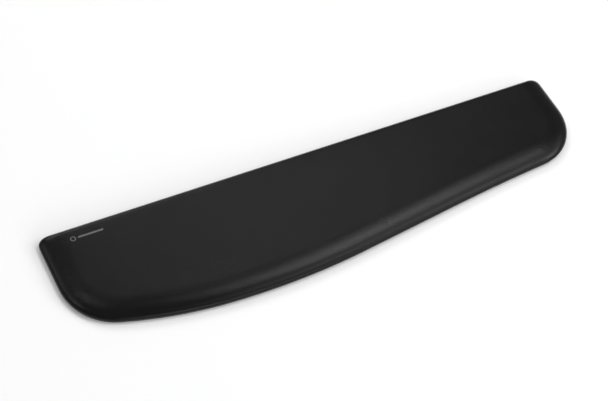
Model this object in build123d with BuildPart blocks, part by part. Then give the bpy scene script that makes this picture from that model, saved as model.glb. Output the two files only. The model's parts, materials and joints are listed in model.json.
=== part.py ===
"""Slim wrist rest for a full-size keyboard.

A leather-like cover is wrapped round a foam core that carries a gel pad under the palms. The
cover turns in beneath the core as a hem, and a rubber base is stuck over the hem. Millimetres,
+Z up, the origin on the table under the middle of the outline, +Y towards the keyboard.
"""

import os
from math import cos, radians, sin

from build123d import *

# Overall size
width = 428.0
depth = 101.0
height = 10.0
left_x = -width / 2
right_x = width / 2
back_y = depth / 2
front_y = -depth / 2

# Outline seen from above. Headings are degrees from +X, going from the left corner to the right.
back_corner_radius = 6.0
front_corner_radius = 42.5
bow_radius = 330.0
easing_radius = 585.0
hollow_radius = 1600.0
bow_heading = -17.8
easing_heading = -3.6
flat_heading = 7.15
right_heading = 4.2

# Edges of the cover: a long roll for the palms, a short one at the back, a tuck at the bottom
palm_roll_width = 19.0
palm_roll_foot = 3.5
back_roll_radius = 5.0
tuck_radius = 1.9
smallest_corner = 6.0
overrun = 30.0

# Thickness of each layer
base_thickness = 1.2
base_glue_thickness = 0.2
skin_thickness = 0.8
backing_thickness = 0.4
hem_glue_thickness = 0.1
film_thickness = 0.15
gel_thickness = 3.0
print_thickness = 0.05

# How far inside the outline each flat piece ends
base_inset = 1.2
base_glue_inset = 3.0
hem_glue_inset = 2.2
hem_inset = 11.0
gel_inset = 22.0

# Printed mark near the back left corner: an open ring, then a bar
mark_x = -190.5
mark_y = 38.7
ring_radius = 2.1
ring_line = 0.7
bar_length = 19.0
bar_width = 1.5
bar_gap = 1.8

# Heights that follow from the layers
hem_floor = base_thickness + base_glue_thickness
lining = skin_thickness + backing_thickness
hem_ceiling = hem_floor + lining
gel_film_ceiling = height - lining
gel_ceiling = gel_film_ceiling - film_thickness
gel_floor = gel_ceiling - gel_thickness
gel_film_floor = gel_floor - film_thickness


def rise(radius: float, start: float, end: float) -> float:
    """Return how far along +Y a bend climbs while its heading goes from start to end."""
    return radius * (cos(radians(start)) - cos(radians(end)))


def reach(radius: float, start: float, end: float) -> float:
    """Return how far along +X a bend goes while its heading goes from start to end."""
    return radius * (sin(radians(end)) - sin(radians(start)))


# The flat stretch of the front edge takes up whatever width the bends leave.
bends_reach = (
    reach(front_corner_radius, -90, bow_heading)
    + reach(bow_radius, bow_heading, easing_heading)
    + reach(easing_radius, easing_heading, flat_heading)
    + reach(-hollow_radius, flat_heading, right_heading)
    + reach(front_corner_radius, right_heading, 90)
)
flat_length = (width - bends_reach) / cos(radians(flat_heading))

# The front edge is lowest where the easing bend runs along +X, and that point is at front_y.
left_shoulder_y = (
    front_y
    - rise(front_corner_radius, -90, bow_heading)
    - rise(bow_radius, bow_heading, easing_heading)
    - rise(easing_radius, easing_heading, 0)
)


def front_rim(inset: float, side_end_y: float) -> None:
    """Draw the left side, the front edge and the right side in the active BuildLine."""
    side = Line((left_x + inset, side_end_y), (left_x + inset, left_shoulder_y))
    left = JernArc(side @ 1, side % 1, front_corner_radius - inset, 90 + bow_heading)
    bow = JernArc(left @ 1, left % 1, bow_radius - inset, easing_heading - bow_heading)
    easing = JernArc(bow @ 1, bow % 1, easing_radius - inset, flat_heading - easing_heading)
    flat = Line(easing @ 1, easing @ 1 + (easing % 1) * flat_length)
    hollow = JernArc(flat @ 1, flat % 1, hollow_radius + inset, right_heading - flat_heading)
    right = JernArc(hollow @ 1, hollow % 1, front_corner_radius - inset, 90 - right_heading)
    Line(right @ 1, (right_x - inset, side_end_y))


def outline(inset: float) -> None:
    """Draw the closed outline, `inset` inside the widest line of the cover."""
    corner = max(back_corner_radius - inset, smallest_corner)
    side_end_y = back_y - inset - corner
    front_rim(inset, side_end_y)
    right = JernArc((right_x - inset, side_end_y), (0, 1), corner, 90)
    back = Line(right @ 1, (left_x + inset + corner, back_y - inset))
    JernArc(back @ 1, back % 1, corner, 90)


def cushion_form(inset: float) -> Part:
    """Return the closed form that lies `inset` inside the outer face of the cover all over."""
    floor = hem_floor + inset
    ceiling = height - inset
    roll_width = palm_roll_width - inset
    roll_height = ceiling - palm_roll_foot
    with BuildPart() as form:
        with BuildSketch(Plane.XY.offset(floor)):
            with BuildLine():
                outline(inset)
            make_face()
        extrude(amount=ceiling - floor)
        fillet(form.edges().group_by(Axis.Z)[-1], back_roll_radius - inset)
        fillet(form.edges().group_by(Axis.Z)[0], tuck_radius - inset)
        # Cut the long roll: everything outside a quarter of an ellipse, swept along the rim.
        with BuildLine() as rim:
            front_rim(inset, back_y + overrun)
        with BuildSketch(Plane.XZ.offset(-back_y - overrun)):
            with BuildLine():
                foot = (left_x + inset, palm_roll_foot)
                crest = (left_x + palm_roll_width, ceiling)
                EllipticalCenterArc((crest[0], foot[1]), roll_width, roll_height, 90, arc_size=90)
                Polyline(foot, (left_x - overrun, foot[1]), (left_x - overrun, ceiling + 1),
                         (crest[0], ceiling + 1), crest)
            make_face()
        sweep(path=rim.wires()[0], mode=Mode.SUBTRACT)
    return form.part


cover_outside = cushion_form(0)
skin_inside = cushion_form(skin_thickness)
core_outside = cushion_form(lining)

# The visible skin: a shell that follows the whole form and turns in beneath it as a hem.
with BuildPart() as cover_skin:
    add(cover_outside)
    add(skin_inside, mode=Mode.SUBTRACT)
    with BuildSketch(Plane.XY.offset(hem_floor)):
        with BuildLine():
            outline(hem_inset)
        make_face()
    extrude(amount=skin_thickness, mode=Mode.SUBTRACT)
cover_skin.part.label = "cover_skin"

# The knitted backing, laminated to the inside of the skin and cut off level with its hem.
with BuildPart() as cover_backing:
    add(skin_inside)
    add(core_outside, mode=Mode.SUBTRACT)
    with BuildSketch(Plane.XY.offset(hem_floor)):
        with BuildLine():
            outline(hem_inset)
        make_face()
    extrude(amount=lining, mode=Mode.SUBTRACT)
cover_backing.part.label = "cover_backing"

# The band of glue that holds the hem to the underside of the core.
with BuildPart() as hem_glue:
    with BuildSketch(Plane.XY.offset(hem_ceiling)):
        with BuildLine():
            outline(hem_glue_inset)
        make_face()
        with BuildLine():
            outline(hem_inset)
        make_face(mode=Mode.SUBTRACT)
    extrude(amount=hem_glue_thickness)
hem_glue.part.label = "hem_glue"

# The foam core fills the cover, steps down inside the hem and is hollowed for the gel pad.
with BuildPart() as foam_core:
    add(core_outside)
    with BuildSketch(Plane.XY.offset(hem_floor)):
        with BuildLine():
            outline(hem_inset)
        make_face()
    extrude(amount=lining + 1)
    add(hem_glue.part, mode=Mode.SUBTRACT)
    with BuildSketch(Plane.XY.offset(gel_film_floor)):
        with BuildLine():
            outline(gel_inset)
        make_face()
    extrude(amount=gel_film_ceiling - gel_film_floor, mode=Mode.SUBTRACT)
foam_core.part.label = "foam_core"

# The gel pad lies in that hollow between two films.
with BuildPart() as gel_film_lower:
    with BuildSketch(Plane.XY.offset(gel_film_floor)):
        with BuildLine():
            outline(gel_inset)
        make_face()
    extrude(amount=film_thickness)
gel_film_lower.part.label = "gel_film_lower"

with BuildPart() as gel_pad:
    with BuildSketch(Plane.XY.offset(gel_floor)):
        with BuildLine():
            outline(gel_inset)
        make_face()
    extrude(amount=gel_thickness)
gel_pad.part.label = "gel_pad"

with BuildPart() as gel_film_upper:
    with BuildSketch(Plane.XY.offset(gel_ceiling)):
        with BuildLine():
            outline(gel_inset)
        make_face()
    extrude(amount=film_thickness)
gel_film_upper.part.label = "gel_film_upper"

# The rubber base and the sheet of glue that holds it over the hem.
with BuildPart() as base_glue:
    with BuildSketch(Plane.XY.offset(base_thickness)):
        with BuildLine():
            outline(base_glue_inset)
        make_face()
    extrude(amount=base_glue_thickness)
base_glue.part.label = "base_glue"

with BuildPart() as non_slip_base:
    with BuildSketch(Plane.XY):
        with BuildLine():
            outline(base_inset)
        make_face()
    extrude(amount=base_thickness)
non_slip_base.part.label = "non_slip_base"

# The printed mark: plain shapes with no lettering.
with BuildPart() as printed_mark:
    with BuildSketch(Plane((mark_x, mark_y, height))):
        Circle(ring_radius)
        Circle(ring_radius - ring_line, mode=Mode.SUBTRACT)
        with Locations((ring_radius + bar_gap + bar_length / 2, 0)):
            SlotOverall(bar_length, bar_width)
    extrude(amount=print_thickness)
printed_mark.part.label = "printed_mark"

pieces = (
    cover_skin,
    cover_backing,
    hem_glue,
    foam_core,
    gel_film_lower,
    gel_pad,
    gel_film_upper,
    base_glue,
    non_slip_base,
    printed_mark,
)

os.makedirs("parts", exist_ok=True)
for piece in pieces:
    export_step(piece.part, f"parts/{piece.part.label}.step")
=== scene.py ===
"""Looks of a slim wrist rest: a leatherette cover round a foam and gel cushion on a rubber base."""

import json
import logging
import math
from collections.abc import Callable, Iterable, Sequence
from dataclasses import dataclass, field
from enum import Enum

import bmesh
import bpy
from mathutils import Matrix, Vector

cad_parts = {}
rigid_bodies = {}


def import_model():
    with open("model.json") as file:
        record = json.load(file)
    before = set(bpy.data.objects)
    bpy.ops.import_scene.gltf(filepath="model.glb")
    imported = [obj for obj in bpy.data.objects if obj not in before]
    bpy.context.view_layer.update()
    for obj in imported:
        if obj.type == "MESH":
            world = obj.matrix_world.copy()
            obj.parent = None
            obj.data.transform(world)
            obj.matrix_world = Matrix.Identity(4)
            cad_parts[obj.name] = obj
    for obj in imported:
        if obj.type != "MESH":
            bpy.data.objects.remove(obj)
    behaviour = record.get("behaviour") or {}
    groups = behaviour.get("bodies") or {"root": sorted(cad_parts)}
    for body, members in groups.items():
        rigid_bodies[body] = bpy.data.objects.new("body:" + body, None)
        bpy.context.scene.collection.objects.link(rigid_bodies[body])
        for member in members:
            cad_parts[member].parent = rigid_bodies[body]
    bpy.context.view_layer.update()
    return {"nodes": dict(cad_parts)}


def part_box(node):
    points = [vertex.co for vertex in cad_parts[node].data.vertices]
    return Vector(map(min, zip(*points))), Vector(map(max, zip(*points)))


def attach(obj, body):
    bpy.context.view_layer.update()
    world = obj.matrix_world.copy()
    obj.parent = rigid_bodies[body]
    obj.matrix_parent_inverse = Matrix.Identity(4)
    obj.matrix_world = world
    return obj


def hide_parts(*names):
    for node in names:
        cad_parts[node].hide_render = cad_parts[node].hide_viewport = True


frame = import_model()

log = logging.getLogger("wrist_rest")

MM = 0.001
BODY = "root"
SAME_POINT = 1e-7
SAME_HEIGHT = 1e-6
CREASE_DEGREES = 40.0
RUBBER_CREASE_DEGREES = 30.0
GEL_CREASE_DEGREES = 50.0


# ---------------------------------------------------------------------------------------------
# Plan outline
# ---------------------------------------------------------------------------------------------


class Pen:
    """Walks an outline in plan and drops a point at the start of every step."""

    def __init__(self, place: Vector, heading: float) -> None:
        """Start at a place, facing a heading in degrees from +X."""
        self.place = place.copy()
        self.heading = math.radians(heading)
        self.points: list[Vector] = []

    def _step(self, length: float) -> None:
        """Drop a point and move ahead."""
        self.points.append(self.place.copy())
        self.place += Vector((math.cos(self.heading), math.sin(self.heading))) * length

    def ahead(self, length: float, steps: int) -> None:
        """Walk straight on.

        Args:
            length: distance in metres.
            steps: number of equal steps.
        """
        for _ in range(steps):
            self._step(length / steps)

    def turn(self, radius: float, degrees: float, steps: int) -> None:
        """Walk round an arc.

        Args:
            radius: the arc's radius in metres.
            degrees: the turn, positive to the left.
            steps: number of equal steps.
        """
        half = math.radians(degrees) / steps / 2
        for _ in range(steps):
            self.heading += half
            self._step(2 * radius * math.sin(abs(half)))
            self.heading += half


@dataclass(frozen=True)
class Bend:
    """A stretch of the front edge that turns steadily from one heading to the next."""

    radius: float
    start: float
    end: float
    steps: int

    @property
    def way(self) -> int:
        """1 where the edge bows outwards, -1 where it is hollow."""
        return 1 if self.end > self.start else -1

    def reach(self) -> float:
        """Return how far along +X the bend goes."""
        a, b = math.radians(self.start), math.radians(self.end)
        return self.way * self.radius * (math.sin(b) - math.sin(a))

    def rise(self, end: float | None = None) -> float:
        """Return how far along +Y the bend climbs, to its end or to a heading before it."""
        a, b = math.radians(self.start), math.radians(self.end if end is None else end)
        return self.way * self.radius * (math.cos(a) - math.cos(b))


@dataclass
class Planform:
    """The rest seen from above. Loops taken at any inset have matching points."""

    left_x: float
    right_x: float
    front_y: float
    back_y: float
    back_corner: float = 6.0 * MM
    smallest_corner: float = 6.0 * MM
    left_corner: Bend = Bend(42.5 * MM, -90.0, -17.8, 15)
    bow: Bend = Bend(330.0 * MM, -17.8, -3.6, 20)
    easing: Bend = Bend(585.0 * MM, -3.6, 7.15, 27)
    hollow: Bend = Bend(1600.0 * MM, 7.15, 4.2, 20)
    right_corner: Bend = Bend(42.5 * MM, 4.2, 90.0, 17)
    left_steps: int = 9
    right_steps: int = 7
    flat_steps: int = 21
    corner_steps: int = 6
    back_steps: int = 104

    def _flat_length(self) -> float:
        """Return the length of the straight stretch between the easing bend and the hollow."""
        bends = (self.left_corner, self.bow, self.easing, self.hollow, self.right_corner)
        left = self.right_x - self.left_x - sum(bend.reach() for bend in bends)
        return left / math.cos(math.radians(self.easing.end))

    def _shoulder_y(self) -> float:
        """Return where the left side ends, so that the front edge is lowest at front_y."""
        return self.front_y - self.left_corner.rise() - self.bow.rise() - self.easing.rise(0.0)

    def loop(
        self,
        inset: float,
        height: float,
        back_inset: float | None = None,
        corner: float | None = None,
    ) -> list[Vector]:
        """Return a closed loop of points inside the outline, anticlockwise from the back left.

        Args:
            inset: how far inside the front and sides it runs.
            height: its height above the table.
            back_inset: how far inside the back edge it runs; the same as inset if None.
            corner: radius of its back corners; what the inset leaves if None.
        """
        back = self.back_y - (inset if back_inset is None else back_inset)
        radius = max(self.back_corner - inset, self.smallest_corner) if corner is None else corner
        pen = Pen(Vector((self.left_x + inset, back - radius)), -90.0)
        pen.ahead(pen.place.y - self._shoulder_y(), self.left_steps)
        for bend in (self.left_corner, self.bow, self.easing):
            self._walk(pen, bend, inset)
        pen.ahead(self._flat_length(), self.flat_steps)
        for bend in (self.hollow, self.right_corner):
            self._walk(pen, bend, inset)
        pen.ahead(back - radius - pen.place.y, self.right_steps)
        pen.turn(radius, 90.0, self.corner_steps)
        pen.ahead(self.right_x - self.left_x - 2 * (inset + radius), self.back_steps)
        pen.turn(radius, 90.0, self.corner_steps)
        return [Vector((p.x, p.y, height)) for p in pen.points]

    @staticmethod
    def _walk(pen: Pen, bend: Bend, inset: float) -> None:
        """Walk one bend of the front edge at an inset."""
        pen.turn(bend.radius - bend.way * inset, bend.end - bend.start, bend.steps)

    def grid_corners(self) -> tuple[int, int]:
        """Return the point that is a flat top's front left corner, and the points along its end."""
        first = self.left_steps + self.left_corner.steps // 2
        corners = (self.left_corner.steps + self.right_corner.steps) // 2
        between = self.bow.steps + self.easing.steps + self.flat_steps + self.hollow.steps
        return first, corners + between


# ---------------------------------------------------------------------------------------------
# Modelling by operator
# ---------------------------------------------------------------------------------------------


class Cap(Enum):
    """How a wrapped form ends."""

    OPEN = "open"
    FACE = "face"
    GRID = "grid"


def deselect_all() -> None:
    """Leave nothing selected and nothing active."""
    for item in bpy.context.view_layer.objects:
        item.select_set(False)
    bpy.context.view_layer.objects.active = None


def make_active(item: bpy.types.Object) -> None:
    """Select one object alone and make it active."""
    deselect_all()
    item.select_set(True)
    bpy.context.view_layer.objects.active = item


def take_new(name: str) -> bpy.types.Object:
    """Name the primitive that has just been added, with its mesh, and return it."""
    item = bpy.context.active_object
    item.name = name
    item.data.name = name
    return item


def edit(item: bpy.types.Object, work: Callable[[bmesh.types.BMesh], None]) -> None:
    """Run one piece of work on an object in edit mode, with all its faces deselected first.

    Args:
        item: the mesh object.
        work: what to do with its edit mesh; it selects and calls operators.
    """
    make_active(item)
    bpy.ops.object.mode_set(mode="EDIT")
    bpy.ops.mesh.select_all(action="DESELECT")
    mesh = bmesh.from_edit_mesh(item.data)
    mesh.verts.ensure_lookup_table()
    work(mesh)
    bpy.ops.object.mode_set(mode="OBJECT")


def apply_modifier(item: bpy.types.Object, kind: str, **values: object) -> None:
    """Add a modifier, set its values and apply it."""
    make_active(item)
    modifier = item.modifiers.new(kind.lower(), kind)
    for name, value in values.items():
        setattr(modifier, name, value)
    bpy.ops.object.modifier_apply(modifier=modifier.name)


def smooth(item: bpy.types.Object, degrees: float) -> None:
    """Shade an object smooth, apart from edges sharper than an angle."""
    make_active(item)
    bpy.ops.object.shade_smooth_by_angle(angle=math.radians(degrees))


def face_outwards(item: bpy.types.Object) -> None:
    """Turn every face of a closed mesh outwards."""

    def work(_: bmesh.types.BMesh) -> None:
        """Select every face and make the normals agree."""
        bpy.ops.mesh.select_all(action="SELECT")
        bpy.ops.mesh.normals_make_consistent(inside=False)

    edit(item, work)


def wrap(
    name: str,
    rings: Sequence[Sequence[Vector]],
    first: Cap,
    last: Cap,
    corners: tuple[int, int] | None = None,
) -> bpy.types.Object:
    """Wrap a grid round a stack of matching loops, join its seam and close its ends.

    Args:
        name: the new object's name.
        rings: closed loops with the same number of points each.
        first: how the first loop is closed.
        last: how the last loop is closed.
        corners: for a grid cap, its first corner's place in a loop and the points along it.

    Returns:
        The new object, its faces outwards.
    """
    around, across = len(rings[0]), len(rings)
    bpy.ops.mesh.primitive_grid_add(x_subdivisions=around, y_subdivisions=across - 1, size=1)
    item = take_new(name)
    for index, vertex in enumerate(item.data.vertices):
        row, column = divmod(index, around + 1)
        vertex.co = rings[row][column % around]

    def close(mesh: bmesh.types.BMesh) -> None:
        """Join the seam and close the two ends."""
        bpy.ops.mesh.select_all(action="SELECT")
        bpy.ops.mesh.remove_doubles(threshold=SAME_POINT)
        for cap, ring in ((first, rings[0]), (last, rings[-1])):
            if cap is not Cap.OPEN:
                close_end(mesh, ring, cap, corners)

    edit(item, close)
    face_outwards(item)
    return item


def close_end(
    mesh: bmesh.types.BMesh,
    ring: Sequence[Vector],
    cap: Cap,
    corners: tuple[int, int] | None,
) -> None:
    """Fill the open loop of a mesh that lies on a ring.

    Args:
        mesh: the edit mesh.
        ring: the points of the loop.
        cap: a single face or a grid.
        corners: for a grid, its first corner's place in the ring and the points along it.
    """
    bpy.ops.mesh.select_all(action="DESELECT")
    height = ring[0].z
    start = ring[corners[0]] if corners else ring[0]
    edges = [
        edge
        for edge in mesh.edges
        if edge.is_boundary and all(abs(v.co.z - height) < SAME_HEIGHT for v in edge.verts)
    ]
    for edge in edges:
        edge.select_set(True)
    mesh.select_history.clear()
    if cap is Cap.FACE:
        bpy.ops.mesh.edge_face_add()
        return
    corner = min((v for edge in edges for v in edge.verts), key=lambda v: (v.co - start).length)
    mesh.select_history.add(corner)
    bpy.ops.mesh.fill_grid(span=corners[1], offset=0, use_interp_simple=False)


# ---------------------------------------------------------------------------------------------
# Shader helpers and shared effects
# ---------------------------------------------------------------------------------------------


class Board:
    """A node tree with short ways to add nodes and join them."""

    def __init__(self, tree: bpy.types.NodeTree) -> None:
        """Work on a tree."""
        self.tree = tree

    def node(self, kind: str, **values: object) -> bpy.types.Node:
        """Add a node and set its properties.

        Args:
            kind: the node's type name, without its prefix.
            values: properties of the node by name.
        """
        made = self.tree.nodes.new(kind)
        for name, value in values.items():
            setattr(made, name, value)
        return made

    def join(self, source: bpy.types.NodeSocket, target: bpy.types.NodeSocket) -> None:
        """Link one socket to another."""
        self.tree.links.new(source, target)

    def math(self, operation: str, a: object, b: object = 0.0) -> bpy.types.NodeSocket:
        """Return the result of a sum on two sockets or numbers."""
        made = self.node("ShaderNodeMath", operation=operation)
        for slot, value in zip(made.inputs, (a, b)):
            if isinstance(value, bpy.types.NodeSocket):
                self.join(value, slot)
            else:
                slot.default_value = value
        return made.outputs[0]

    def span(
        self, value: bpy.types.NodeSocket, low: float, high: float, to: tuple[float, float]
    ) -> bpy.types.NodeSocket:
        """Return a value mapped from low..high to another span, held at its ends."""
        made = self.node("ShaderNodeMapRange", clamp=True)
        self.join(value, made.inputs["Value"])
        for name, number in zip(("From Min", "From Max", "To Min", "To Max"), (low, high, *to)):
            made.inputs[name].default_value = number
        return made.outputs["Result"]

    def noise(
        self, place: bpy.types.NodeSocket, scale: object, detail: float = 2.0
    ) -> bpy.types.NodeSocket:
        """Return a noise value at a place; scale is a number or a socket."""
        made = self.node("ShaderNodeTexNoise")
        self.join(place, made.inputs["Vector"])
        if isinstance(scale, bpy.types.NodeSocket):
            self.join(scale, made.inputs["Scale"])
        else:
            made.inputs["Scale"].default_value = scale
        made.inputs["Detail"].default_value = detail
        return made.outputs["Fac"]

    def place(self) -> bpy.types.NodeSocket:
        """Return the object coordinates."""
        return self.node("ShaderNodeTexCoord").outputs["Object"]

    def two_tone(
        self, mask: bpy.types.NodeSocket, dark: Sequence[float], light: Sequence[float]
    ) -> bpy.types.NodeSocket:
        """Return a colour between two, by a mask."""
        made = self.node("ShaderNodeMix", data_type="RGBA")
        self.join(mask, made.inputs["Factor"])
        made.inputs["A"].default_value = (*dark, 1.0)
        made.inputs["B"].default_value = (*light, 1.0)
        return made.outputs["Result"]


def new_group(
    name: str, takes: Sequence[tuple[str, str, float]], gives: Iterable[tuple[str, str]]
) -> tuple[bpy.types.NodeTree, Board, bpy.types.Node, bpy.types.Node]:
    """Make an empty shader node group.

    Args:
        name: the group's name.
        takes: name, socket type and first value of each input.
        gives: name and socket type of each output.

    Returns:
        The tree, a board on it, its input node and its output node.
    """
    tree = bpy.data.node_groups.new(name, "ShaderNodeTree")
    for label, kind, value in takes:
        socket = tree.interface.new_socket(label, in_out="INPUT", socket_type=kind)
        if kind == "NodeSocketFloat":
            socket.default_value = value
    for label, kind in gives:
        tree.interface.new_socket(label, in_out="OUTPUT", socket_type=kind)
    board = Board(tree)
    return tree, board, board.node("NodeGroupInput"), board.node("NodeGroupOutput")


class Effects:
    """The node groups that several finishes share."""

    def __init__(self) -> None:
        """Build every group once."""
        self.pebble = self._pebble()
        self.mottle = self._mottle()

    @staticmethod
    def _pebble() -> bpy.types.NodeTree:
        """Return the group that makes a pebbled grain with fine pores between larger folds."""
        tree, board, takes, gives = new_group(
            "pebble_grain",
            [
                ("Place", "NodeSocketVector", 0.0),
                ("Cells per metre", "NodeSocketFloat", 1500.0),
                ("Folds", "NodeSocketFloat", 0.4),
            ],
            [("Height", "NodeSocketFloat"), ("Creases", "NodeSocketFloat")],
        )
        cells = board.node("ShaderNodeTexVoronoi", feature="DISTANCE_TO_EDGE")
        board.join(takes.outputs["Place"], cells.inputs["Vector"])
        board.join(takes.outputs["Cells per metre"], cells.inputs["Scale"])
        domes = board.span(cells.outputs["Distance"], 0.0, 0.35, (0.0, 1.0))
        wide = board.math("MULTIPLY", takes.outputs["Cells per metre"], 0.22)
        folds = board.noise(takes.outputs["Place"], wide, 3.0)
        height = board.math("ADD", domes, board.math("MULTIPLY", folds, takes.outputs["Folds"]))
        board.join(height, gives.inputs["Height"])
        board.join(board.span(domes, 0.0, 0.5, (1.0, 0.0)), gives.inputs["Creases"])
        return tree

    @staticmethod
    def _mottle() -> bpy.types.NodeTree:
        """Return the group that makes broad soft patches and fine flecks."""
        tree, board, takes, gives = new_group(
            "soft_mottle",
            [
                ("Place", "NodeSocketVector", 0.0),
                ("Patches per metre", "NodeSocketFloat", 30.0),
                ("Flecks", "NodeSocketFloat", 0.3),
            ],
            [("Mask", "NodeSocketFloat")],
        )
        patches = board.noise(takes.outputs["Place"], takes.outputs["Patches per metre"], 3.0)
        fine = board.math("MULTIPLY", takes.outputs["Patches per metre"], 40.0)
        flecks = board.noise(takes.outputs["Place"], fine, 1.0)
        mix = board.math("MULTIPLY", board.math("SUBTRACT", flecks, 0.5), takes.outputs["Flecks"])
        board.join(
            board.span(board.math("ADD", patches, mix), 0.3, 0.7, (0.0, 1.0)), gives.inputs["Mask"]
        )
        return tree


@dataclass(frozen=True)
class Finish:
    """A material with a soft two-tone colour and a roughness that follows it."""

    name: str
    slot: str
    dark: tuple[float, float, float]
    light: tuple[float, float, float]
    rough: tuple[float, float]
    patches: float = 30.0
    flecks: float = 0.3

    def _mottle(self, board: Board, effects: Effects) -> bpy.types.NodeSocket:
        """Place the mottle group with this finish's values and return its mask."""
        group = board.node("ShaderNodeGroup", node_tree=effects.mottle)
        board.join(board.place(), group.inputs["Place"])
        group.inputs["Patches per metre"].default_value = self.patches
        group.inputs["Flecks"].default_value = self.flecks
        return group.outputs["Mask"]

    def _relief(self, board: Board, effects: Effects) -> tuple[bpy.types.NodeSocket, float] | None:
        """Return the height of this finish's relief and its depth in metres, or None."""
        return None

    def _shader(self, shader: bpy.types.Node) -> None:
        """Set the sockets that are the same all over the surface."""

    def material(self, effects: Effects) -> bpy.types.Material:
        """Build the material.

        Args:
            effects: the shared node groups.
        """
        made = bpy.data.materials.new(self.name)
        made.use_nodes = True
        made.node_tree.nodes.clear()
        board = Board(made.node_tree)
        output = board.node("ShaderNodeOutputMaterial")
        shader = board.node("ShaderNodeBsdfPrincipled")
        board.join(shader.outputs["BSDF"], output.inputs["Surface"])
        mask = self._mottle(board, effects)
        board.join(board.two_tone(mask, self.dark, self.light), shader.inputs["Base Color"])
        board.join(board.span(mask, 0.0, 1.0, self.rough), shader.inputs["Roughness"])
        relief = self._relief(board, effects)
        if relief:
            bump = board.node("ShaderNodeBump")
            bump.inputs["Strength"].default_value = 1.0
            bump.inputs["Distance"].default_value = relief[1]
            board.join(relief[0], bump.inputs["Height"])
            board.join(bump.outputs["Normal"], shader.inputs["Normal"])
        self._shader(shader)
        return made


@dataclass(frozen=True)
class PebbleFinish(Finish):
    """A finish with a pebbled grain, for leatherette and for rubber."""

    cells: float = 1500.0
    folds: float = 0.4
    depth: float = 0.02 * MM
    specular: float = 0.5

    def _relief(self, board: Board, effects: Effects) -> tuple[bpy.types.NodeSocket, float]:
        """Return the grain's height and depth."""
        group = board.node("ShaderNodeGroup", node_tree=effects.pebble)
        board.join(board.place(), group.inputs["Place"])
        group.inputs["Cells per metre"].default_value = self.cells
        group.inputs["Folds"].default_value = self.folds
        return group.outputs["Height"], self.depth

    def _shader(self, shader: bpy.types.Node) -> None:
        """Set how strongly the surface reflects."""
        shader.inputs["Specular IOR Level"].default_value = self.specular


@dataclass(frozen=True)
class KnitFinish(Finish):
    """A fine warp knit: wales across the width and courses along the depth."""

    wales: float = 1100.0
    depth: float = 0.05 * MM

    def _relief(self, board: Board, effects: Effects) -> tuple[bpy.types.NodeSocket, float]:
        """Return the height of the loops and their depth."""
        place = board.place()
        heights = []
        for direction, share in (("X", 1.0), ("Y", 0.7)):
            wave = board.node("ShaderNodeTexWave", bands_direction=direction)
            board.join(place, wave.inputs["Vector"])
            wave.inputs["Scale"].default_value = self.wales * share / math.tau
            wave.inputs["Distortion"].default_value = 0.6
            heights.append(wave.outputs["Fac"])
        return board.math("MULTIPLY", *heights), self.depth

    def _shader(self, shader: bpy.types.Node) -> None:
        """Give the yarn its sheen."""
        shader.inputs["Sheen Weight"].default_value = 0.3


@dataclass(frozen=True)
class FoamFinish(Finish):
    """Open-cell foam: round pits of two sizes."""

    cells: float = 1400.0
    depth: float = 0.15 * MM

    def _relief(self, board: Board, effects: Effects) -> tuple[bpy.types.NodeSocket, float]:
        """Return the height of the cell walls and their depth."""
        place = board.place()
        pits = board.node("ShaderNodeTexVoronoi", feature="F1")
        board.join(place, pits.inputs["Vector"])
        pits.inputs["Scale"].default_value = self.cells
        coarse = board.noise(place, self.cells * 0.3, 2.0)
        return board.math("ADD", pits.outputs["Distance"], coarse), self.depth


@dataclass(frozen=True)
class ClearFinish(Finish):
    """A translucent soft solid or film."""

    transmission: float = 0.6
    index: float = 1.45

    def _shader(self, shader: bpy.types.Node) -> None:
        """Let light through."""
        shader.inputs["Transmission Weight"].default_value = self.transmission
        shader.inputs["IOR"].default_value = self.index


LEATHERETTE = PebbleFinish(
    "black_leatherette",
    "leatherette",
    (0.0030, 0.0030, 0.0031),
    (0.0048, 0.0048, 0.0049),
    (0.19, 0.21),
    patches=45.0,
    flecks=0.12,
    cells=2000.0,
    depth=0.018 * MM,
    specular=0.16,
)
RUBBER = PebbleFinish(
    "base_rubber",
    "base_rubber",
    (0.010, 0.010, 0.010),
    (0.018, 0.018, 0.019),
    (0.68, 0.82),
    patches=45.0,
    cells=2600.0,
    folds=0.8,
    depth=0.02 * MM,
    specular=0.35,
)
KNIT = KnitFinish(
    "knit_backing", "knit_backing", (0.032, 0.032, 0.034), (0.055, 0.055, 0.058), (0.85, 0.95)
)
FOAM = FoamFinish("core_foam", "foam", (0.075, 0.075, 0.078), (0.13, 0.13, 0.135), (0.9, 0.98))
GEL = ClearFinish(
    "blue_gel", "gel", (0.12, 0.30, 0.46), (0.20, 0.42, 0.58), (0.18, 0.30), patches=14.0
)
FILM = ClearFinish(
    "clear_film",
    "clear_film",
    (0.74, 0.76, 0.78),
    (0.82, 0.84, 0.85),
    (0.15, 0.28),
    transmission=0.8,
)
HOT_MELT = ClearFinish(
    "hot_melt_glue",
    "hot_melt_glue",
    (0.70, 0.60, 0.40),
    (0.82, 0.74, 0.55),
    (0.30, 0.45),
    transmission=0.3,
)
ACRYLIC = Finish(
    "acrylic_glue", "acrylic_glue", (0.76, 0.73, 0.62), (0.86, 0.84, 0.76), (0.5, 0.62)
)
INK = Finish(
    "grey_ink",
    "grey_ink",
    (0.080, 0.080, 0.080),
    (0.105, 0.105, 0.105),
    (0.5, 0.6),
    patches=400.0,
    flecks=0.6,
)


# ---------------------------------------------------------------------------------------------
# Sub-assemblies
# ---------------------------------------------------------------------------------------------


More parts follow.
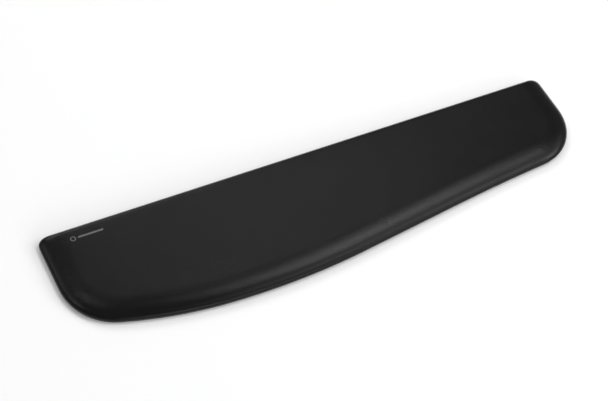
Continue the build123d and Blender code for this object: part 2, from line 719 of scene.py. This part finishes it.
@dataclass
class Layers:
    """Heights of the stack above the table and thickness of the cover's two layers."""

    base: float = 1.2 * MM
    base_glue: float = 0.2 * MM
    skin: float = 0.8 * MM
    backing: float = 0.4 * MM
    hem_glue: float = 0.1 * MM
    top: float = 10.0 * MM
    roll_foot: float = 3.5 * MM
    roll_width: float = 19.0 * MM
    back_roll: float = 5.0 * MM
    back_crest_corner: float = 1.5 * MM
    tuck: float = 1.9 * MM
    hem_inset: float = 11.0 * MM
    gel_inset: float = 22.0 * MM

    @property
    def hem_floor(self) -> float:
        """Height of the underside of the hem."""
        return self.base + self.base_glue

    @property
    def lining(self) -> float:
        """Thickness of the skin and its backing together."""
        return self.skin + self.backing


@dataclass
class Section:
    """The cover's cross-section, turned into loops round the plan outline."""

    plan: Planform
    layers: Layers
    roll_steps: int = 16
    tuck_steps: int = 5

    def roll(self, inset: float) -> list[list[Vector]]:
        """Return the loops of the long roll, from its foot up to the edge of the flat top.

        Args:
            inset: how far inside the outer face of the cover the loops lie.
        """
        layers, plan = self.layers, self.plan
        foot = plan.loop(inset, layers.roll_foot)
        crest = plan.loop(
            layers.roll_width,
            layers.top - inset,
            layers.back_roll,
            layers.back_crest_corner,
        )
        rings = []
        for step in range(self.roll_steps + 1):
            angle = math.pi / 2 * step / self.roll_steps
            across, up = 1 - math.cos(angle), math.sin(angle)
            rings.append(
                [
                    Vector(
                        (
                            a.x + (b.x - a.x) * across,
                            a.y + (b.y - a.y) * across,
                            a.z + (b.z - a.z) * up,
                        )
                    )
                    for a, b in zip(foot, crest)
                ]
            )
        return rings

    def tuck(self, inset: float) -> list[list[Vector]]:
        """Return the loops of the tuck, from the underside up to just below the roll's foot."""
        radius = self.layers.tuck - inset
        middle = self.layers.hem_floor + self.layers.tuck
        rings = []
        for step in range(self.tuck_steps):
            angle = math.pi / 2 * (1 - step / self.tuck_steps)
            ring_inset = inset + radius * (1 - math.cos(angle))
            height = middle - radius * math.sin(angle)
            rings.append(self.plan.loop(ring_inset, height))
        return rings

    def hem(self, inset: float) -> list[list[Vector]]:
        """Return the loops of the turned-in hem, from its cut edge out to the tuck."""
        layers = self.layers
        height = layers.hem_floor + inset
        middle = (layers.hem_inset + layers.tuck) / 2
        return [self.plan.loop(at, height) for at in (layers.hem_inset, middle)]


@dataclass
class Piece:
    """What a finished piece stands for and is made of."""

    item: bpy.types.Object
    finish: Finish
    nodes: tuple[str, ...]

    def place(self, effects: Effects, materials: dict[str, bpy.types.Material]) -> None:
        """Give the piece its material and fix it to the frame.

        Args:
            effects: the shared node groups.
            materials: materials made so far, by name.
        """
        self.item.data.materials.clear()
        self.item.data.materials.append(material_of(self.finish, effects, materials))
        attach(self.item, BODY)
        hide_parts(*self.nodes)
        log.info("%s: %d faces", self.item.name, len(self.item.data.polygons))


def material_of(
    finish: Finish, effects: Effects, materials: dict[str, bpy.types.Material]
) -> bpy.types.Material:
    """Return a finish's material, made once."""
    if finish.name not in materials:
        materials[finish.name] = finish.material(effects)
    return materials[finish.name]


@dataclass(frozen=True)
class Swell:
    """A short cloth simulation: the filling presses a cover up while its hem is held."""

    pressure: float = 0.09
    stiffness: float = 60.0
    bending: float = 5.0
    point_mass: float = 0.05
    frames: int = 20
    held_below: float = 3.5 * MM
    free_above: float = 6.0 * MM
    limit: float = 1.0 * MM

    def _hold(self, item: bpy.types.Object) -> str:
        """Hold the hem and the tuck, less and less up the roll, and return the group's name."""
        group = item.vertex_groups.new(name="held")
        for vertex in item.data.vertices:
            share = (self.free_above - vertex.co.z) / (self.free_above - self.held_below)
            if share > 0:
                group.add([vertex.index], min(share, 1.0), "REPLACE")
        return group.name

    def run(self, item: bpy.types.Object) -> None:
        """Simulate, apply the result and ease each point's move towards the limit.

        Args:
            item: the cover's outer face, open at its hem.
        """
        start = [vertex.co.copy() for vertex in item.data.vertices]
        held = self._hold(item)
        make_active(item)
        cloth = item.modifiers.new("swell", "CLOTH")
        cloth.point_cache.frame_start = 1
        cloth.point_cache.frame_end = self.frames
        settings = cloth.settings
        settings.vertex_group_mass = held
        settings.mass = self.point_mass
        settings.use_pressure = True
        settings.uniform_pressure_force = self.pressure
        settings.effector_weights.gravity = 0.0
        settings.tension_stiffness = self.stiffness
        settings.compression_stiffness = self.stiffness
        settings.shear_stiffness = self.stiffness
        settings.bending_stiffness = self.bending
        scene = bpy.context.scene
        for count in range(1, self.frames + 1):
            scene.frame_set(count)
        bpy.ops.object.modifier_apply(modifier=cloth.name)
        scene.frame_set(1)
        furthest = 0.0
        for vertex, place in zip(item.data.vertices, start):
            move = vertex.co - place
            vertex.co = place + move * (self.limit / (self.limit + move.length))
            furthest = max(furthest, (vertex.co - place).length)
        item.vertex_groups.clear()
        log.info("%s: swelled by up to %.2f mm", item.name, furthest / MM)


@dataclass
class Cover:
    """The leatherette skin and the knit behind it."""

    section: Section
    swell: Swell = Swell()

    def skin(self) -> bpy.types.Object:
        """Build the skin: its outer face, the swell of its filling, then its thickness."""
        section = self.section
        rings = section.hem(0.0) + section.tuck(0.0) + section.roll(0.0)
        corners = section.plan.grid_corners()
        item = wrap("cover_leatherette", rings, Cap.OPEN, Cap.GRID, corners)
        self.swell.run(item)
        apply_modifier(item, "SUBSURF", levels=1, render_levels=1)
        apply_modifier(
            item, "SOLIDIFY", thickness=section.layers.skin, offset=-1.0, use_even_offset=True
        )
        smooth(item, CREASE_DEGREES)
        return item

    def backing(self) -> bpy.types.Object:
        """Build the knit backing, one skin thickness further in."""
        section, inset = self.section, self.section.layers.skin
        rings = section.hem(inset) + section.tuck(inset) + section.roll(inset)
        item = wrap("cover_knit", rings, Cap.OPEN, Cap.GRID, section.plan.grid_corners())
        apply_modifier(
            item, "SOLIDIFY", thickness=section.layers.backing, offset=-1.0, use_even_offset=True
        )
        smooth(item, CREASE_DEGREES)
        return item


@dataclass
class Cushion:
    """The foam core and the gel pad in its hollow."""

    section: Section
    first_tuck_ring: int = 2
    cast_radius: float = 1.2 * MM
    cast_steps: int = 4

    def foam(self) -> bpy.types.Object:
        """Build the foam, from its underside out round the roll and down into the hollow."""
        section, layers, plan = self.section, self.section.layers, self.section.plan
        inset = layers.lining
        step_height = layers.hem_floor + inset + layers.hem_glue
        floor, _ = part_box("gel_film_lower")
        rings = [
            plan.loop(layers.hem_inset, layers.hem_floor),
            plan.loop(layers.hem_inset, step_height),
            plan.loop(layers.tuck, step_height),
            *section.tuck(inset)[self.first_tuck_ring :],
            *section.roll(inset),
            plan.loop(layers.gel_inset, layers.top - inset),
            plan.loop(layers.gel_inset, floor.z),
        ]
        item = wrap("foam_cushion", rings, Cap.FACE, Cap.GRID, plan.grid_corners())
        smooth(item, CREASE_DEGREES)
        return item

    def gel(self) -> bpy.types.Object:
        """Build the gel pad, with a soft cast edge."""
        low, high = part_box("gel_pad")
        plan, inset, radius = self.section.plan, self.section.layers.gel_inset, self.cast_radius
        rings = []
        for middle, sign in ((low.z + radius, -1), (high.z - radius, 1)):
            for step in range(self.cast_steps + 1):
                share = step / self.cast_steps
                angle = math.pi / 2 * (1 - share if sign < 0 else share)
                at = inset + radius * (1 - math.cos(angle))
                rings.append(plan.loop(at, middle + sign * radius * math.sin(angle)))
        item = wrap("gel_cushion", rings, Cap.GRID, Cap.GRID, plan.grid_corners())
        smooth(item, GEL_CREASE_DEGREES)
        return item


@dataclass
class Base:
    """The rubber sheet under the rest: a flat band round its edge and studs in a shallow field."""

    plan: Planform
    layers: Layers
    inset: float = 1.2 * MM
    band: float = 4.0 * MM
    relief: float = 0.35 * MM
    edge_round: float = 0.15 * MM
    pitch: float = 5.0 * MM
    stud_radius: float = 1.3 * MM
    stud_taper: float = 0.8
    stud_sides: int = 10

    def sheet(self) -> bpy.types.Object:
        """Build the sheet, from the field up the outside to its top face."""
        plan, top = self.plan, self.layers.base
        inner = self.inset + self.band
        rings = [
            plan.loop(inner + self.relief, self.relief),
            plan.loop(inner, 0.0),
            plan.loop(self.inset + self.edge_round, 0.0),
            plan.loop(self.inset, self.edge_round),
            plan.loop(self.inset, top - self.edge_round),
            plan.loop(self.inset + self.edge_round, top),
        ]
        item = wrap("rubber_base", rings, Cap.GRID, Cap.FACE, plan.grid_corners())
        smooth(item, RUBBER_CREASE_DEGREES)
        return item

    def studs(self) -> bpy.types.Object:
        """Build one stud, copy it over the field in staggered rows and drop those outside."""
        bpy.ops.mesh.primitive_cone_add(
            vertices=self.stud_sides,
            radius1=self.stud_radius * self.stud_taper,
            radius2=self.stud_radius,
            depth=self.relief,
            location=(0, 0, self.relief / 2),
        )
        item = take_new("grip_studs")
        bpy.ops.object.transform_apply(location=True)
        row_step = self.pitch * math.sqrt(3)
        across = math.ceil((self.plan.right_x - self.plan.left_x) / self.pitch)
        rows = math.ceil((self.plan.back_y - self.plan.front_y) / row_step)
        array = {"use_relative_offset": False, "use_constant_offset": True}
        steps = (
            (2, (self.pitch / 2, row_step / 2, 0)),
            (across, (self.pitch, 0, 0)),
            (rows, (0, row_step, 0)),
        )
        for count, step in steps:
            apply_modifier(item, "ARRAY", count=count, constant_offset_displace=step, **array)
        item.data.transform(Matrix.Translation((self.plan.left_x, self.plan.front_y, 0)))
        self._drop_outside(item)
        smooth(item, RUBBER_CREASE_DEGREES)
        return item

    def _drop_outside(self, item: bpy.types.Object) -> None:
        """Delete every stud that doesn't lie whole in the field."""
        inner = self.inset + self.band + self.relief + self.stud_radius / 2
        fence = [p.to_2d() for p in self.plan.loop(inner, 0.0)]

        def work(mesh: bmesh.types.BMesh) -> None:
            """Delete whatever is linked to a point outside the fence."""
            bpy.ops.mesh.select_all(action="DESELECT")
            for vertex in mesh.verts:
                if not inside(vertex.co.to_2d(), fence):
                    vertex.select_set(True)
            mesh.select_flush_mode()
            bpy.ops.mesh.select_linked()
            bpy.ops.mesh.delete(type="VERT")

        edit(item, work)


def inside(point: Vector, fence: Sequence[Vector]) -> bool:
    """Return whether a point in plan lies inside a closed outline."""
    crossings = 0
    for a, b in zip(fence, [*fence[1:], fence[0]]):
        if (a.y > point.y) != (b.y > point.y):
            at = a.x + (point.y - a.y) / (b.y - a.y) * (b.x - a.x)
            crossings += at > point.x
    return crossings % 2 == 1


@dataclass
class Mark:
    """The small print near the back left corner: an open ring and a bar."""

    ring_line: float = 0.7 * MM
    bar_width: float = 1.5 * MM
    bar_gap: float = 1.8 * MM
    film: float = 0.05 * MM
    reach: float = 10.0 * MM
    sides: int = 64
    bar_cuts: int = 12
    end_steps: int = 10
    end_share: float = 0.499
    level: float = 0.9

    def build(self, cover: bpy.types.Object) -> bpy.types.Object:
        """Build the ring and the bar, join them and lay them on the cover.

        Args:
            cover: the finished skin.
        """
        low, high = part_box("printed_mark")
        radius = (high.y - low.y) / 2
        middle = Vector((low.x + radius, (low.y + high.y) / 2, low.z + self.film / 2))
        bpy.ops.mesh.primitive_cylinder_add(
            vertices=self.sides,
            radius=radius,
            depth=self.film,
            location=middle,
            end_fill_type="NGON",
        )
        ring = take_new("mark_print")
        bpy.ops.object.transform_apply(location=True)
        self._open_ring(ring, middle)
        start = low.x + 2 * radius + self.bar_gap
        bar = self._bar(start, high.x, middle)
        deselect_all()
        bar.select_set(True)
        ring.select_set(True)
        bpy.context.view_layer.objects.active = ring
        bpy.ops.object.join()
        self._lay(ring, cover, low.z)
        smooth(ring, CREASE_DEGREES)
        return ring

    def _lay(self, mark: bpy.types.Object, cover: bpy.types.Object, flat: float) -> None:
        """Move each point by as much as the cover beneath it stands above the flat top."""
        down = Vector((0.0, 0.0, -1.0))
        for vertex in mark.data.vertices:
            above = Vector((vertex.co.x, vertex.co.y, flat + self.reach))
            hit, place, _, _ = cover.ray_cast(above, down)
            if hit:
                vertex.co.z += place.z - flat

    def _open_ring(self, ring: bpy.types.Object, middle: Vector) -> None:
        """Inset both end faces of the disc and bridge them, which opens its middle."""

        def work(mesh: bmesh.types.BMesh) -> None:
            """Inset the two end faces and bridge what is left of them."""
            for face in mesh.faces:
                face.select_set(abs(face.normal.z) > self.level)
            bpy.ops.mesh.inset(thickness=self.ring_line, use_individual=True)
            bpy.ops.mesh.bridge_edge_loops()

        edit(ring, work)

    def _bar(self, start: float, end: float, middle: Vector) -> bpy.types.Object:
        """Build the bar with round ends."""
        bpy.ops.mesh.primitive_cube_add(size=1, location=((start + end) / 2, middle.y, middle.z))
        bar = take_new("mark_bar")
        bar.scale = (end - start, self.bar_width, self.film)
        bpy.ops.object.transform_apply(location=True, scale=True)

        def round_ends(mesh: bmesh.types.BMesh) -> None:
            """Bevel the four upright edges."""
            for edge in mesh.edges:
                along = edge.verts[0].co - edge.verts[1].co
                edge.select_set(abs(along.z) > self.film / 2)
            offset = self.bar_width * self.end_share
            bpy.ops.mesh.bevel(offset=offset, segments=self.end_steps, affect="EDGES")

        def divide(mesh: bmesh.types.BMesh) -> None:
            """Cut the long edges, so that the bar can follow the cover."""
            for edge in mesh.edges:
                along = edge.verts[0].co - edge.verts[1].co
                edge.select_set(abs(along.x) > self.bar_width)
            bpy.ops.mesh.subdivide(number_cuts=self.bar_cuts)

        edit(bar, round_ends)
        edit(bar, divide)
        return bar


# ---------------------------------------------------------------------------------------------
# Studio
# ---------------------------------------------------------------------------------------------


@dataclass(frozen=True)
class Softbox:
    """A rectangular light that faces the rest, as wide and high as it looks from there."""

    name: str
    azimuth: float
    elevation: float
    spread: tuple[float, float]
    glow: float
    distance: float = 3.0

    def build(self) -> None:
        """Add the light, with the power that gives its face the same glow at any size."""
        a, e = math.radians(self.azimuth), math.radians(self.elevation)
        way = Vector((math.sin(a) * math.cos(e), -math.cos(a) * math.cos(e), math.sin(e)))
        data = bpy.data.lights.new(self.name, "AREA")
        data.shape = "RECTANGLE"
        data.size, data.size_y = (
            2 * self.distance * math.tan(math.radians(angle) / 2) for angle in self.spread
        )
        data.energy = self.glow * math.pi * data.size * data.size_y
        item = bpy.data.objects.new(self.name, data)
        item.location = way * self.distance
        item.rotation_mode = "QUATERNION"
        item.rotation_quaternion = (-way).to_track_quat("-Z", "Y")
        bpy.context.scene.collection.objects.link(item)


@dataclass
class Studio:
    """The floor, the lights and the camera."""

    floor_size: float = 12.0
    floor_tone: float = 0.88
    world_light: float = 0.31
    azimuth: float = -35.25
    elevation: float = 52.23
    roll: float = 10.61
    distance: float = 1.12359
    lens: float = 88.82
    target: Vector = field(default_factory=lambda: Vector((-0.01668, 0.01375, 0.0)))
    boxes: tuple[Softbox, ...] = (
        Softbox("front_low", 15.0, 18.0, (56.0, 18.0), 3.2),
        Softbox("right_key", 60.0, 32.0, (22.0, 20.0), 5.8),
        Softbox("right_fill", 84.0, 36.0, (22.0, 22.0), 1.47),
        Softbox("front_high", 30.0, 50.0, (24.0, 18.0), 1.6),
        Softbox("front_right_high", 55.0, 54.0, (24.0, 18.0), 2.25),
        Softbox("right_spot", 97.0, 65.0, (18.0, 14.0), 8.2),
        Softbox("back_right", 143.0, 50.0, (16.0, 14.0), 1.15),
        Softbox("back_right_high", 152.0, 58.0, (14.0, 12.0), 1.7),
        Softbox("back", 181.0, 38.0, (34.0, 16.0), 4.5),
        Softbox("back_spot", 214.0, 69.0, (10.0, 8.0), 5.0),
        Softbox("left", 262.0, 42.0, (14.0, 12.0), 4.0),
        Softbox("back_left", 228.0, 46.0, (16.0, 16.0), 0.6),
        Softbox("back_left_low", 235.0, 30.0, (14.0, 14.0), 2.09),
    )

    def floor(self) -> None:
        """Add the pale floor."""
        deselect_all()
        bpy.ops.mesh.primitive_plane_add(size=self.floor_size, location=(0, 0, 0))
        item = take_new("floor")
        made = bpy.data.materials.new("pale_floor")
        made.use_nodes = True
        shader = made.node_tree.nodes["Principled BSDF"]
        shader.inputs["Base Color"].default_value = (*(self.floor_tone,) * 3, 1.0)
        shader.inputs["Roughness"].default_value = 0.9
        shader.inputs["Specular IOR Level"].default_value = 0.0
        item.data.materials.append(made)

    def light(self) -> None:
        """Add the softboxes and the light of the room."""
        for box in self.boxes:
            box.build()
        world = bpy.data.worlds.new("room")
        world.use_nodes = True
        room = world.node_tree.nodes["Background"]
        room.inputs["Color"].default_value = (1.0, 1.0, 1.0, 1.0)
        room.inputs["Strength"].default_value = self.world_light
        bpy.context.scene.world = world
        bpy.context.scene.view_settings.view_transform = "Standard"

    def camera(self) -> None:
        """Add the camera, rolled a little about its own axis."""
        a, e = math.radians(self.azimuth), math.radians(self.elevation)
        back = Vector((math.sin(a) * math.cos(e), -math.cos(a) * math.cos(e), math.sin(e)))
        data = bpy.data.cameras.new("camera")
        data.lens = self.lens
        item = bpy.data.objects.new("camera", data)
        turn = (-back).to_track_quat("-Z", "Y").to_matrix().to_4x4()
        turn = turn @ Matrix.Rotation(math.radians(self.roll), 4, "Z")
        item.matrix_world = Matrix.Translation(self.target + back * self.distance) @ turn
        bpy.context.scene.collection.objects.link(item)
        bpy.context.scene.camera = item

    def build(self) -> None:
        """Build the whole studio."""
        self.floor()
        self.light()
        self.camera()


# ---------------------------------------------------------------------------------------------
# Assembly
# ---------------------------------------------------------------------------------------------

KEPT_NODES = {
    "hem_glue": HOT_MELT,
    "gel_film_lower": FILM,
    "gel_film_upper": FILM,
    "base_glue": ACRYLIC,
}


def dress_kept_nodes(effects: Effects, materials: dict[str, bpy.types.Material]) -> None:
    """Give each carried-over node its finish."""
    for name, finish in KEPT_NODES.items():
        item = frame["nodes"][name]
        item.data.materials.clear()
        item.data.materials.append(material_of(finish, effects, materials))
        log.info("%s: kept as designed", name)


def main() -> None:
    """Build the rest piece by piece, then the studio."""
    logging.basicConfig(level=logging.INFO, format="%(name)s: %(message)s")
    deselect_all()
    low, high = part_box("cover_skin")
    plan = Planform(low.x, high.x, low.y, high.y)
    layers = Layers()
    section = Section(plan, layers)
    effects = Effects()
    materials: dict[str, bpy.types.Material] = {}
    cover, cushion, base = Cover(section), Cushion(section), Base(plan, layers)
    skin = cover.skin()
    pieces = [
        Piece(skin, LEATHERETTE, ("cover_skin",)),
        Piece(cover.backing(), KNIT, ("cover_backing",)),
        Piece(cushion.foam(), FOAM, ("foam_core",)),
        Piece(cushion.gel(), GEL, ("gel_pad",)),
        Piece(base.sheet(), RUBBER, ("non_slip_base",)),
        Piece(base.studs(), RUBBER, ("non_slip_base",)),
        Piece(Mark().build(skin), INK, ("printed_mark",)),
    ]
    for piece in pieces:
        piece.place(effects, materials)
    dress_kept_nodes(effects, materials)
    Studio().build()


if __name__ == "__main__":
    main()
